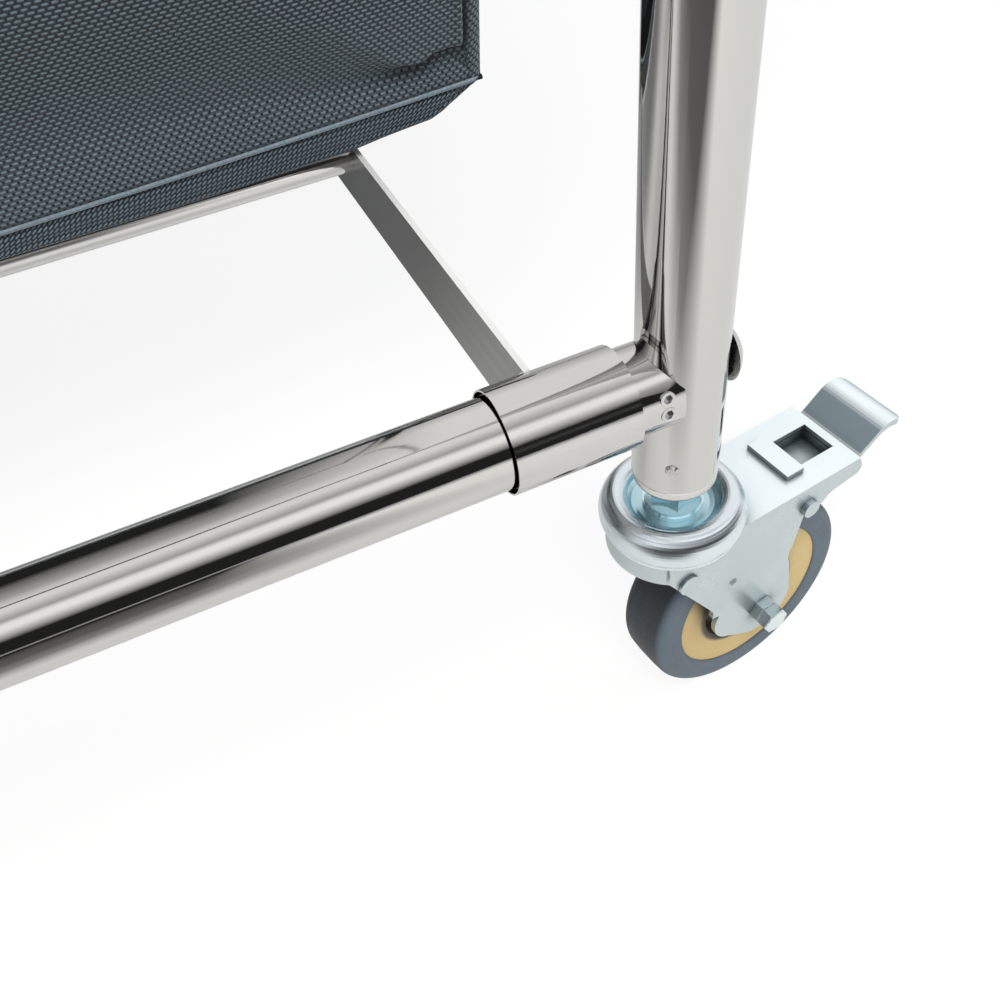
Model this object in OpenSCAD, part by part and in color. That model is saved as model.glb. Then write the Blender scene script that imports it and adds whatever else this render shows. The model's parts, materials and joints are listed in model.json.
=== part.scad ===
// Folding laundry trolley, in millimetres.
// Origin: on the floor, under the middle of the trolley. X runs along the long side,
// Y from the near side (-) to the far side (+), Z up.
// Two upright side frames are joined by hinged links near the floor and hinged stays at the top.
// The links' rods carry the laundry bag, which hangs from the two top rails.

/* [Frame] */
// Distance between post axes along the long side
post_pitch_x = 800; // [640:10:1000]
// Distance between the near and far post axes
post_pitch_y = 600; // [540:10:700]
// Outer diameter of posts, bottom tubes and top rails
tube_d = 33; // [30:0.5:34]
// Wall of these tubes
tube_wall = 1.5; // [1:0.1:2.5]
// Height of the bottom tube's axis above the floor
tube_z = 194; // [190:1:230]
// Height of the top rail's axis above the floor
rail_z = 880; // [820:10:1000]
// How far each post runs down past the bottom tube's axis
post_foot = 44.7; // [40:0.1:46]
// How far each post runs up past the top rail's axis
post_head = 25; // [22:1:60]
// Height of the domed cap on each post
cap_h = 6; // [4:0.5:10]
// Height of the cap's upright rim
cap_rim = 1.5; // [1:0.1:3]
// Depth of the cap's shank inside the post
cap_shank = 15; // [8:1:20]

/* [Saddle fittings] */
// Outer diameter of the collar between tube and post
collar_d = 32.6; // [31:0.1:32.8]
// How far the collar's sides stop short of the post's axis
collar_tip = 7.6; // [6:0.1:10]
// Gap between post axis and the end of the tube
tube_end = 35; // [32:0.5:40]
// How far the fitting's spigot runs into the tube
spigot_len = 30; // [20:1:50]
// Shank diameter of the through bolt
bolt_d = 8; // [6:0.5:9]
// Head diameter of the through bolt
bolt_head_d = 23.5; // [16:0.5:24]
// Height of that bolt's domed head
bolt_head_h = 6; // [3:0.1:7]
// How far that bolt lies above the tube's axis
bolt_rise = 4; // [0:0.5:6]
// Radial play of that bolt in the post's holes
bolt_play = 0.4; // [0.3:0.05:0.6]
// Outer diameter of each set screw
screw_d = 5.5; // [4:0.1:5.8]
// Angle of the two set screws round the collar, up from level
screw_angle = 10.5; // [0:0.5:20]
// Distance between the two set screws' axes
screw_pitch = 6.1; // [6:0.1:8]
// Distance from the post axis to the set screws
screw_from_post = 14.6; // [14.4:0.1:16]
// Depth of each set screw below the collar's surface
screw_depth = 3.2; // [2.4:0.1:3.4]
// Head diameter of the rivet that holds the post's end plug
rivet_d = 5; // [4:0.1:7]
// Drop from the bottom tube's axis to that rivet
rivet_drop = 32.3; // [30:0.1:36]
// Direction of the rivet, round from the lengthwise direction
rivet_angle = 52.8; // [30:0.1:80]

/* [Bottom links] */
// Outer diameter of the sleeve that turns on the bottom tube
sleeve_d = 37.6; // [37:0.2:40]
// Length of the sleeve
sleeve_len = 46.5; // [36:0.5:60]
// Gap between the post axis and the sleeve
sleeve_from_post = 25.2; // [24:0.2:34]
// Diameter of the wider mouth at the sleeve's inner end
mouth_d = 36.4; // [34.4:0.2:36.4]
// Depth of that mouth
mouth_len = 9; // [4:0.5:14]
// Gap between the post axis and the near link's flat bar
bar_from_post = 52.4; // [48:0.2:60]
// Height of the link's flat bar
bar_h = 30.8; // [24:0.2:32]
// Thickness of the flat bar
bar_t = 2.4; // [2:0.1:4]
// Height of the links' middle hinge above the bottom tube's axis
link_rise = 2; // [1:0.5:6]
// Diameter of the rod that carries the bag
rod_d = 16; // [12:0.5:18]
// Distance from the bottom tube's axis to the rod
rod_from_tube = 190.4; // [180:0.2:210]
// How far the rod's axis lies above the middle of the flat bar
rod_rise = 9.6; // [8.5:0.1:10]
// Diameter of the hinge pin between near and far link
link_pin_d = 8; // [6:0.5:10]
// Thickness of that pin's heads
link_head_t = 3; // [2:0.5:5]

/* [Top stays] */
// Height of the stays' pivots on the posts
stay_z = 840; // [780:5:848]
// Width of a stay's flat bar
stay_h = 20; // [16:1:24]
// Thickness of a stay
stay_t = 3; // [2:0.2:4]
// Diameter of the stays' pins
stay_pin_d = 6; // [5:0.2:8]
// Thickness of those pins' heads
pin_head_t = 2.2; // [1.6:0.2:4]
// Free play in the pivot on the far post
far_pivot_play = 0.5; // [0.3:0.1:0.8]

/* [Caster] */
// Wheel diameter over the tyre
wheel_d = 104; // [100:0.5:105]
// Tyre width
wheel_w = 26.5; // [22:0.5:28]
// Diameter of the wheel's core, inside the tyre
core_d = 77; // [70:0.2:78]
// Distance from the swivel axis back to the axle
trail = 37.4; // [35:0.1:40]
// Angle between the caster's trailing direction and the trolley's length
trail_angle = 7.9; // [0:0.1:20]
// Height of the fork's crown above the floor
crown_z = 117.5; // [116:0.1:119]
// Width over the fork's side plates
fork_w = 40.6; // [40:0.1:44]
// Sheet thickness of the fork
fork_t = 2.4; // [2:0.1:3]
// Radius of the fork's round front
crown_r = 26.5; // [24:0.1:28]
// Reach of the fork's top plate past the swivel axis
plate_reach = 84; // [82:0.5:86]
// Largest diameter of the swivel race cover
race_d = 58.6; // [56:0.2:60]
// Diameter of the caster's threaded stem
stem_d = 12; // [10:0.5:12]
// Diameter of the flange under the stem's nut
stem_flange_d = 23.8; // [21:0.2:24]
// Width of that nut over its flats
stem_nut_w = 19; // [17:0.5:20]
// Axle bolt diameter
axle_d = 8; // [6:0.5:10]
// Width of the axle bolt's head over its flats
axle_head_w = 11.5; // [9:0.5:13]
// Length of the axle bolt's grooved head
axle_head_l = 10.4; // [6:0.2:12]
// Number of balls in the swivel race
ball_count = 16; // [10:1:20]
// Ball diameter
ball_d = 5.6; // [5:0.1:5.8]
// Width of the brake pedal
pedal_w = 34; // [30:0.5:34.4]
// Sheet thickness of the pedal
pedal_t = 2.2; // [1.8:0.1:2.6]
// Gap between the brake shoe and the tyre while the brake is off
shoe_gap = 3.7; // [3.5:0.1:5]
// Height of the raised lug on the fork's top plate
lug_h = 2.5; // [2:0.5:4]

/* [Bag] */
// Length of the bag at its bottom seam
bag_bottom_len = 806; // [660:2:1010]
// Width of the bag at its bottom seam
bag_bottom_w = 260; // [240:2:280]
// Height of the bottom seam above the floor
bag_seam_z = 231; // [228:1:270]
// How much shorter each end is at the top than at the bottom
bag_end_lean = 25; // [20:1:40]
// Cloth thickness, with its backing
cloth_t = 2.5; // [2:0.1:4]
// Diameter of the piped edge along the bottom seam
piping_d = 3.4; // [2.6:0.2:5]
// How far that edge stands past the wall at each corner
piping_over = 1; // [0.4:0.2:3]
// Length at each end over which the bottom climbs to the seam
bag_foot_run = 20; // [15:1:50]
// How far the bottom has already risen where that climb begins
bag_foot_rise = 3.4; // [2:0.1:6]
// Gap between the post axis and the end of the hem sleeve on the rail
hem_from_post = 38; // [36.5:0.5:60]

/* [Clearances] */
// Radial clearance of a part that turns on another
turn_gap = 0.08; // [0.05:0.01:0.1]
// Clearance between neighbours that move past each other
side_gap = 0.4; // [0.3:0.05:0.5]
// Clearance between seated pieces and round the bag's cloth
seat_gap = 0.05; // [0.03:0.01:0.08]

/* [Hidden] */
$fn = 96;
tube_r = tube_d / 2;
bore_r = tube_r - tube_wall;
post_x = post_pitch_x / 2;
post_y = post_pitch_y / 2;
post_bottom = tube_z - post_foot;
post_top = rail_z + post_head;
collar_r = collar_d / 2;
spigot_r = bore_r - turn_gap;
bolt_seat_x = tube_r;
bar_x = post_x - bar_from_post - bar_t;
far_bar_x = bar_x - side_gap - bar_t;
link_z = tube_z + link_rise;
rod_y = post_y - rod_from_tube;
rod_z = tube_z + link_rise * rod_from_tube / post_y + rod_rise;
stay_x = post_x + tube_r + 1.2;
far_stay_x = stay_x + stay_t + side_gap;
stay_mid_z = stay_z - link_rise;
wheel_r = wheel_d / 2;
core_r = core_d / 2;
plug_flange_h = 4.9;
plug_len = 18;
fork_in = fork_w / 2 - fork_t;
crown_low = crown_z - fork_t;
brake_pivot = [56.4, crown_z - 11.7];
axle_head_groove = 0.4;
race_r = race_d / 2;
race_floor = crown_z + 11;
bag_top_z = rail_z - tube_r - cloth_t + seat_gap * 10;
bag_end_x = bag_bottom_len / 2;
bag_seam_y = bag_bottom_w / 2;
wall_run = bag_top_z - bag_seam_z;
wall_shift = post_y - bag_seam_y;
wall_lean = atan2(wall_shift, wall_run);
wall_len = norm([wall_shift, wall_run]);
end_lean = atan2(bag_end_lean, wall_run);
end_len = norm([bag_end_lean, wall_run]);
bag_gap = 0.3;

// Points along an arc, from angle a to angle b
function arc(centre, r, a, b, steps = 12) =
    [for (i = [0 : steps]) centre + r * [cos(a + (b - a) * i / steps), sin(a + (b - a) * i / steps)]];

// A cylinder along X, from x0 to x1
module bar_x_round(r, x0, x1) {
    translate([x0, 0, 0]) rotate([0, 90, 0]) cylinder(r = r, h = x1 - x0);
}

// A flat outline drawn in Y and Z, given a thickness along X from x0
module plate_yz(x0, t) {
    translate([x0, 0, 0]) rotate([90, 0, 90]) linear_extrude(t) children();
}

// A flat outline drawn in X and Z, given a thickness along Y from y0
module plate_xz(y0, t) {
    translate([0, y0 + t, 0]) rotate([90, 0, 0]) linear_extrude(t) children();
}

// Two copies, at the right and left end
module both_ends() {
    children();
    mirror([1, 0, 0]) children();
}

// The near or far side: side is -1 for near and 1 for far, drawn for the far side
module on_side(side) {
    if (side > 0) children();
    else mirror([0, 1, 0]) children();
}

// One post: a tube with holes for its bolts and its rivet, drawn at the right end
module post(side) {
    color([0.86, 0.85, 0.84]) difference() {
        translate([post_x, side * post_y, post_bottom]) cylinder(r = tube_r, h = post_top - post_bottom);
        translate([post_x, side * post_y, post_bottom - 1])
            cylinder(r = bore_r, h = post_top - post_bottom + 2);
        for (z = [tube_z, rail_z])
            translate([0, side * post_y, z + bolt_rise])
                bar_x_round(bolt_d / 2 + bolt_play, post_x - tube_d, post_x + tube_d);
        on_side(side) rivet_place() cylinder(r = rivet_d / 4 + seat_gap, h = tube_wall * 4, center = true);
    }
}

// The rivet's place on the post, its axis pointing outward, drawn at the far right post
module rivet_place() {
    translate([post_x, post_y, tube_z - rivet_drop]) rotate(180 - rivet_angle)
        translate([tube_r - tube_wall / 2, 0, 0]) rotate([0, 90, 0]) children();
}

// A straight tube between two saddle fittings
module cross_tube(side, z) {
    end = post_x - tube_end;
    color([0.86, 0.85, 0.84]) translate([0, side * post_y, z]) difference() {
        bar_x_round(tube_r, -end, end);
        bar_x_round(bore_r, -end - 1, end + 1);
    }
}

// One saddle fitting: a collar cut to the post's curve, with a spigot inside the tube
module saddle(z) {
    translate([0, post_y, z]) difference() {
        union() {
            bar_x_round(collar_r, post_x - tube_end + seat_gap, post_x - collar_tip);
            bar_x_round(spigot_r, post_x - tube_end - spigot_len, post_x - tube_end + 1);
        }
        translate([post_x, 0, -tube_d]) cylinder(r = tube_r + seat_gap, h = 2 * tube_d);
        translate([0, 0, bolt_rise])
            bar_x_round(bolt_d / 2 + seat_gap, post_x - tube_end - spigot_len - 1, post_x);
        for (s = [-1, 1]) screw_place(s) translate([0, 0, -seat_gap])
            cylinder(r = screw_d / 2 + seat_gap, h = collar_r);
    }
}

// A set screw's place, its axis pointing out of the collar and its zero at the screw's foot.
// The upper one is -1 and the lower one 1, side by side.
module screw_place(s) {
    translate([post_x - screw_from_post, 0, 0]) rotate([screw_angle - 90, 0, 0])
        translate([0, s * screw_pitch / 2, collar_r - screw_depth]) children();
}

module saddles(side) {
    color([0.84, 0.84, 0.84]) on_side(side) both_ends() {
        saddle(tube_z);
        saddle(rail_z);
    }
}

// What is fixed to a pair of posts: a domed bolt through each post and two set screws with
// hexagon sockets at each saddle, the plugs' rivets, and the pins that the stays turn on
module fasteners(side, stay_at) {
    saddle_fasteners(side);
    post_pins(side, stay_at);
}

module saddle_fasteners(side) {
    dome_r = (pow(bolt_head_d / 2, 2) + pow(bolt_head_h, 2)) / (2 * bolt_head_h);
    color([0.8, 0.8, 0.8]) on_side(side) both_ends() {
        for (z = [tube_z, rail_z]) translate([0, post_y, z]) {
            translate([0, 0, bolt_rise]) {
                bar_x_round(bolt_d / 2, post_x - tube_end - spigot_len / 2, post_x + bolt_seat_x + 0.1);
                translate([post_x + bolt_seat_x, 0, 0]) rotate([0, 90, 0]) intersection() {
                    cylinder(r = bolt_head_d / 2, h = bolt_head_h + 1);
                    translate([0, 0, bolt_head_h - dome_r]) sphere(r = dome_r);
                }
            }
            for (s = [-1, 1]) screw_place(s) difference() {
                cylinder(r = screw_d / 2, h = screw_depth + 0.1);
                translate([0, 0, screw_depth / 2]) cylinder(r = screw_d / 3, h = screw_depth, $fn = 6);
            }
        }
        rivet_place() {
            translate([0, 0, -6]) cylinder(r = rivet_d / 4, h = 6 + tube_wall / 2 + 0.5);
            translate([0, 0, tube_wall / 2 + seat_gap]) cylinder(r1 = rivet_d / 2, r2 = rivet_d / 3, h = 1.1);
        }
    }
}

// End plug in the foot of each post, bored for the caster's stem
module plugs(side) {
    color([0.8, 0.8, 0.78]) on_side(side) both_ends() difference() {
        translate([post_x, post_y, 0]) difference() {
            rotate_extrude() polygon(concat(
                [[0, post_bottom - plug_flange_h]],
                arc([tube_r - 1.8, post_bottom - plug_flange_h + 1.5], 1.5, -90, 0, 6),
                [[tube_r - 0.3, post_bottom - 0.8], [tube_r - 1.1, post_bottom - seat_gap]],
                [[bore_r - turn_gap, post_bottom - seat_gap]],
                [[bore_r - turn_gap, post_bottom + plug_len], [0, post_bottom + plug_len]]
            ));
            translate([0, 0, post_bottom - plug_flange_h - 1])
                cylinder(r = stem_d / 2 + seat_gap, h = plug_len + plug_flange_h + 2);
        }
        rivet_place() cylinder(r = rivet_d / 4 + seat_gap, h = 16, center = true);
    }
}

// Domed cap in the head of each post
module caps(side) {
    color([0.84, 0.84, 0.84]) on_side(side) both_ends() translate([post_x, post_y, post_top])
        rotate_extrude() polygon(concat(
            [[0, -cap_shank], [bore_r - turn_gap, -cap_shank], [bore_r - turn_gap, seat_gap]],
            [[tube_r, seat_gap], [tube_r, cap_rim]],
            [for (a = [10 : 10 : 80]) [tube_r * cos(a), cap_rim + (cap_h - cap_rim) * sin(a)]],
            [[0, cap_h]]
        ));
}

// One link arm: a sleeve that turns on the bottom tube, welded to a flat bar
// that runs to the middle hinge. bar_at is the bar's inner face along X.
module arm(bar_at, far) {
    sleeve_end = post_x - sleeve_from_post;
    run = norm([post_y, link_rise]);
    difference() {
        union() {
            translate([0, post_y, tube_z]) bar_x_round(sleeve_d / 2, sleeve_end - sleeve_len, sleeve_end);
            plate_yz(bar_at, bar_t) translate([0, link_z]) rotate(-atan2(link_rise, post_y)) difference() {
                polygon(concat(
                    arc([0, 0], bar_h / 2, 90, 270, 16),
                    [[run - tube_r / 2, -bar_h / 2], [run - tube_r / 2, bar_h / 2]]
                ));
                circle(r = link_pin_d / 2 + (far ? turn_gap : seat_gap));
            }
        }
        translate([0, post_y, tube_z]) {
            bar_x_round(tube_r + turn_gap, sleeve_end - sleeve_len - 1, sleeve_end + 1);
            bar_x_round(mouth_d / 2, sleeve_end - sleeve_len - 1, sleeve_end - sleeve_len + mouth_len);
        }
    }
}

module near_arms() {
    color([0.84, 0.84, 0.84]) on_side(-1) both_ends() arm(bar_x, false);
}

module far_arms() {
    color([0.84, 0.84, 0.84]) on_side(1) both_ends() arm(far_bar_x, true);
}

// The rod that carries the bag, between the two flat bars of a link
module rod(side) {
    end = side < 0 ? bar_x : far_bar_x;
    color([0.7, 0.69, 0.68]) translate([0, side * rod_y, rod_z]) bar_x_round(rod_d / 2, -end, end);
}

// Headed pins of the middle hinge
module link_pins() {
    color([0.75, 0.75, 0.75]) both_ends() translate([0, 0, link_z]) {
        bar_x_round(link_pin_d / 2, far_bar_x - side_gap - 1, bar_x + bar_t + 1);
        bar_x_round(link_pin_d * 0.9, bar_x + bar_t, bar_x + bar_t + link_head_t);
        bar_x_round(link_pin_d * 0.85, far_bar_x - side_gap - link_head_t, far_bar_x - side_gap);
    }
}

// A flat bar with round ends and a hole at each, from the post's pivot to the middle one
module stay_bar(hole_post, hole_mid) {
    run = norm([post_y, link_rise]);
    translate([0, stay_mid_z]) rotate(atan2(link_rise, post_y)) difference() {
        polygon(concat(arc([0, 0], stay_h / 2, 90, 270, 16), arc([run, 0], stay_h / 2, -90, 90, 16)));
        circle(r = hole_mid);
        translate([run, 0]) circle(r = hole_post);
    }
}

module near_stays() {
    pin_r = stay_pin_d / 2;
    color([0.8, 0.8, 0.8]) on_side(-1) both_ends() plate_yz(stay_x, stay_t)
        stay_bar(pin_r + turn_gap, pin_r + seat_gap);
}

module far_stays() {
    pin_r = stay_pin_d / 2;
    color([0.8, 0.8, 0.8]) both_ends() plate_yz(far_stay_x, stay_t)
        stay_bar(pin_r + far_pivot_play, pin_r + turn_gap);
}

// A shouldered pin on the post, with the stay between its spacer and its head
module post_pins(side, stay_at) {
    color([0.75, 0.75, 0.75]) on_side(side) both_ends() translate([0, post_y, stay_z]) {
        bar_x_round(stay_pin_d / 2, post_x + tube_r + seat_gap, stay_at + stay_t + side_gap + 1);
        difference() {
            bar_x_round(stay_pin_d, post_x + tube_r - 3, stay_at - side_gap / 2);
            translate([post_x, 0, -tube_d]) cylinder(r = tube_r + seat_gap, h = 2 * tube_d);
        }
        bar_x_round(stay_pin_d, stay_at + stay_t + side_gap, stay_at + stay_t + side_gap + pin_head_t);
    }
}

module stay_centre_pins() {
    color([0.75, 0.75, 0.75]) both_ends() translate([0, 0, stay_mid_z]) {
        bar_x_round(stay_pin_d / 2, stay_x - 1, far_stay_x + stay_t + side_gap + 1);
        bar_x_round(stay_pin_d, stay_x - pin_head_t, stay_x);
        bar_x_round(stay_pin_d, far_stay_x + stay_t + side_gap, far_stay_x + stay_t + side_gap + pin_head_t);
    }
}

// A caster's own frame: X runs along its trailing direction, from its swivel axis
module at_caster(sx, sy) {
    turn = sx > 0 ? -sy * trail_angle : 180 + sy * trail_angle;
    translate([sx * post_x, sy * post_y, 0]) rotate(turn) children();
}

// Threaded stem with its flange, its nut and the kingpin nut under the crown
module stem() {
    nut_r = stem_nut_w / sqrt(3);
    color([0.62, 0.8, 0.86]) {
        translate([0, 0, crown_low - 8]) cylinder(r = stem_d / 2, h = post_bottom + 14 - crown_low + 8);
        translate([0, 0, race_floor + seat_gap]) cylinder(r = stem_flange_d / 2, h = 2);
        translate([0, 0, race_floor + 1.9]) cylinder(r = stem_flange_d / 2 - 0.5, h = 1.8);
        translate([0, 0, race_floor + 3.6]) cylinder(r = nut_r, h = 9, $fn = 6);
        translate([0, 0, crown_low - side_gap - 6]) cylinder(r = nut_r * 0.85, h = 6, $fn = 6);
    }
}

// Pressed cover of the swivel race: a dished top and a rounded outer roll
module race() {
    roll = [race_r - 9.9, crown_z + 7.6];
    dome = [race_r - 6.6, crown_z + 12.2];
    color([0.75, 0.77, 0.78]) rotate_extrude() polygon(concat(
        [[stem_d / 2 + seat_gap, race_floor - 1.8], [stem_d / 2 + seat_gap, race_floor]],
        [[race_r - 14.9, race_floor], [race_r - 13, race_floor + 0.5], [race_r - 11.3, race_floor + 2.2]],
        arc(dome, 4.7, 142, 36, 10),
        [[race_r - 2.95, crown_z + 14.5]],
        arc(roll, 9.9, 44, -37, 12),
        [[race_r - 2, crown_z + side_gap], [race_r - 4.1, crown_z + side_gap], [race_r - 2.5, crown_z + 4]],
        [[race_r - 2.3, crown_z + 7.6], [race_r - 3.4, crown_z + 11.6], [race_r - 5.4, crown_z + 14]],
        [[race_r - 7.8, crown_z + 14.1], [race_r - 10.2, crown_z + 12.4], [race_r - 11.8, crown_z + 10]],
        [[race_r - 13, race_floor - 1.8]]
    ));
}

// The balls between the race covers and the crowns at the near or the far side
module balls(side) {
    color([0.7, 0.7, 0.7]) for (end = [-1, 1], i = [0 : ball_count - 1]) at_caster(end, side)
        rotate(i * 360 / ball_count) translate([race_r - 7.2, 0, crown_z + 0.3 + ball_d / 2])
            sphere(d = ball_d, $fn = 32);
}

// Outline of a side plate: round lobe at the axle, waist, and a tail that reaches the pedal
function side_outline() = concat(
    [[-sqrt(pow(crown_r, 2) - pow(fork_w / 2, 2)), crown_z - 0.5]],
    [[-sqrt(pow(crown_r, 2) - pow(fork_w / 2, 2)), crown_z - 9.5]],
    arc([2.5, crown_z - 49.5], 6.4, 35, -20, 5),
    arc([trail - 13.1, wheel_r + 5.8], 13.7, 150, 247, 10),
    arc([trail, wheel_r + 1.2], 16.6, 247, 372, 16),
    arc([trail + 22.9, wheel_r + 26.6], 10.4, 208, 150, 6),
    arc([brake_pivot[0] + 2.5, brake_pivot[1] + 1], 6.6, 235, 290, 5),
    arc([brake_pivot[0] + 17, brake_pivot[1] - 8.4], 9.6, 145, 107, 5),
    arc([plate_reach - 2.2, crown_z - 5.5], 4, -62, 20, 6),
    [[plate_reach, crown_z - 0.5]]
);

// Pressed fork: crown, top plate with its window and raised lug, round front, two side plates
// with the rivets that carry the brake pedal
module fork() {
    side_y = fork_w / 2 - fork_t;
    lug_x = plate_reach - 33.3;
    color([0.78, 0.81, 0.82]) difference() {
        union() {
            translate([0, 0, crown_low]) linear_extrude(fork_t) intersection() {
                union() {
                    circle(r = crown_r);
                    translate([0, -fork_w / 2]) square([plate_reach, fork_w]);
                }
                translate([-crown_r, -fork_w / 2]) square([crown_r + plate_reach, fork_w]);
            }
            translate([0, 0, crown_z - 9.5]) linear_extrude(9.4) intersection() {
                difference() {
                    circle(r = crown_r);
                    circle(r = crown_r - fork_t);
                }
                translate([-crown_r, -fork_w / 2]) square([crown_r - 12, fork_w]);
            }
            for (y = [-fork_w / 2, side_y]) plate_xz(y, fork_t) polygon(side_outline());
            translate([0, 0, crown_z - 1]) cylinder(r = race_r - 10.5, h = 7);
            translate([lug_x, -12, crown_z - 0.5]) cube([9, 24, lug_h + 0.5]);
            for (s = [-1, 1]) {
                translate([brake_pivot[0], s * (fork_w / 2 - 0.1), brake_pivot[1]]) rotate([-90 * s, 0, 0]) {
                    cylinder(r = 4.1, h = 2.7);
                    translate([0, 0, -6]) cylinder(r = 2.5, h = 7);
                }
                translate([-7.3, s * (fork_w / 2 - 0.1), crown_z - 15.8]) rotate([-90 * s, 0, 0])
                    cylinder(r = 4.7, h = 1.6);
                translate([18.4, s * (fork_w / 2 - 0.1), crown_z - 34.7]) rotate([-90 * s, 0, 0])
                    cylinder(r1 = 3.4, r2 = 1.8, h = 1.3);
            }
        }
        translate([plate_reach - 22, -8.5, crown_low - 1]) cube([18, 17, fork_t + 5]);
        translate([0, 0, crown_low - 1]) cylinder(r = stem_d / 2 + 0.3, h = 12);
        translate([trail, 0, wheel_r]) rotate([90, 0, 0])
            cylinder(r = axle_d / 2 + seat_gap, h = fork_w + 2, center = true);
    }
}

// Axle bolt with a long hexagon head, grooved halfway, on one side and a nut on the other
module axle() {
    color([0.72, 0.8, 0.83]) translate([trail, 0, wheel_r]) rotate([90, 0, 0]) {
        cylinder(r = axle_d / 2, h = fork_w + 14, center = true);
        for (z = [0, axle_head_l / 2]) translate([0, 0, fork_w / 2 + z])
            cylinder(r = axle_head_w / sqrt(3), h = axle_head_l / 2 - axle_head_groove, $fn = 6);
        translate([0, 0, fork_w / 2]) cylinder(r = axle_head_w / 2 - axle_head_groove, h = axle_head_l);
        translate([0, 0, -fork_w / 2 - 6]) cylinder(r = axle_head_w / sqrt(3) * 1.15, h = 6, $fn = 6);
    }
}

// Moulded wheel core: rim, thin web and long boss with its bore
module hub() {
    boss = fork_in - side_gap;
    rim = wheel_w / 2 - 0.8;
    color([0.85, 0.72, 0.5]) translate([trail, 0, wheel_r]) rotate([90, 0, 0]) rotate_extrude() polygon([
        [axle_d / 2 + turn_gap, -boss], [9.5, -boss], [10.5, -5], [21.5, -5], [24, -rim + 1], [25, -rim],
        [core_r - seat_gap, -rim], [core_r - seat_gap, rim],
        [25, rim], [24, rim - 1], [21.5, 5], [10.5, 5], [9.5, boss], [axle_d / 2 + turn_gap, boss]
    ]);
}

// Solid tyre with rounded shoulders and a faint crown
module tyre() {
    half = wheel_w / 2;
    shoulder = 4.5;
    color([0.36, 0.43, 0.49]) translate([trail, 0, wheel_r]) rotate([90, 0, 0]) rotate_extrude() polygon(concat(
        [[core_r, -half + 0.6], [core_r + 1, -half]],
        arc([wheel_r - shoulder - 0.3, -half + shoulder], shoulder, -90, -8, 8),
        [[wheel_r, -half / 3], [wheel_r, half / 3]],
        arc([wheel_r - shoulder - 0.3, half - shoulder], shoulder, 8, 90, 8),
        [[core_r + 1, half], [core_r, half - 0.6]]
    ));
}

// Brake pedal: a web inside the fork, ears on the rivets, a shoe over the tyre
// and a curled tread behind the fork
module pedal() {
    web_top = crown_low - side_gap - 0.2;
    web_end = plate_reach + 0.5;
    tread = concat(
        arc([web_end, web_top + 6], 6, -90, -50, 4),
        arc([web_end + 19, web_top - 0.7], 11, 130, 46, 12)
    );
    last = len(tread) - 1;
    under = [for (i = [0 : last]) tread[last - i] - [0, pedal_t + 1]];
    corner = [tread[last][0] - 5, pedal_w / 2 - 5];
    plan = concat(
        arc([corner[0], -corner[1]], 5, -90, 0, 6), arc(corner, 5, 0, 90, 6),
        [[brake_pivot[0] - 8, pedal_w / 2], [brake_pivot[0] - 8, -pedal_w / 2]]
    );
    color([0.8, 0.85, 0.87]) difference() {
        intersection() {
            union() {
                plate_xz(-pedal_w / 2, pedal_w) {
                    polygon([
                        [brake_pivot[0] - 4, web_top - pedal_t], [brake_pivot[0] - 4, web_top],
                        [web_end + 0.5, web_top], [web_end + 0.5, web_top - pedal_t]
                    ]);
                    polygon(concat(tread, under));
                }
                for (y = [-pedal_w / 2, pedal_w / 2 - pedal_t]) plate_xz(y, pedal_t) polygon(concat(
                    [[brake_pivot[0] - 4, web_top - 0.5]],
                    arc(brake_pivot, 5.4, 165, 330, 10),
                    [[plate_reach - 8, web_top - pedal_t - 1.5], [plate_reach - 4, web_top - 0.5]]
                ));
                plate_xz(-10.5, 21) polygon([
                    [brake_pivot[0] + 4, web_top - 1], [brake_pivot[0] + 4, wheel_r * 1.7],
                    [brake_pivot[0] + 18, wheel_r * 1.6], [plate_reach - 0.5, web_top - 7],
                    [plate_reach - 0.5, web_top - 1]
                ]);
            }
            linear_extrude(crown_z + 20) polygon(plan);
        }
        translate([trail, 0, wheel_r]) rotate([90, 0, 0])
            cylinder(r = wheel_r + shoe_gap, h = fork_w, center = true);
        translate([plate_reach - 22, -8.5, web_top - 5]) cube([18, 17, 8]);
        translate([brake_pivot[0], 0, brake_pivot[1]]) rotate([90, 0, 0])
            cylinder(r = 2.5 + turn_gap, h = fork_w + 2, center = true);
    }
}

// A side wall of the bag: cloth sewn into a sleeve round the top rail, with a piped lower edge
module bag_wall(side) {
    hem = post_x - hem_from_post;
    top_half = bag_end_x - bag_end_lean;
    color([0.28, 0.35, 0.4]) on_side(side) {
        translate([0, post_y, rail_z]) difference() {
            bar_x_round(tube_r + cloth_t + bag_gap, -hem, hem);
            bar_x_round(tube_r + bag_gap, -hem - 1, hem + 1);
        }
        translate([0, bag_seam_y, bag_seam_z]) rotate([90 - wall_lean, 0, 0]) linear_extrude(cloth_t)
            polygon([[-bag_end_x, 0], [bag_end_x, 0], [top_half, wall_len], [-top_half, wall_len]]);
        translate([0, bag_seam_y, bag_seam_z])
            bar_x_round(piping_d / 2, -bag_end_x - piping_over, bag_end_x + piping_over);
    }
}

// An end wall of the bag, with a folded hem along its top edge
module bag_end() {
    inner_bottom = bag_seam_y - cloth_t - bag_gap - 0.3;
    inner_top = post_y - cloth_t - bag_gap - 0.3;
    hem_h = 25;
    hem_half = inner_top - wall_shift * hem_h / wall_run;
    translate([bag_end_x, 0, bag_seam_z]) rotate([0, -end_lean, 0]) {
        plate_yz(-cloth_t, cloth_t) polygon([
            [-inner_bottom, 0], [inner_bottom, 0], [inner_top, end_len], [-inner_top, end_len]
        ]);
        plate_yz(-2 * cloth_t, cloth_t + 0.1) polygon([
            [-hem_half, end_len - hem_h], [hem_half, end_len - hem_h],
            [inner_top, end_len], [-inner_top, end_len]
        ]);
    }
}

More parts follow.
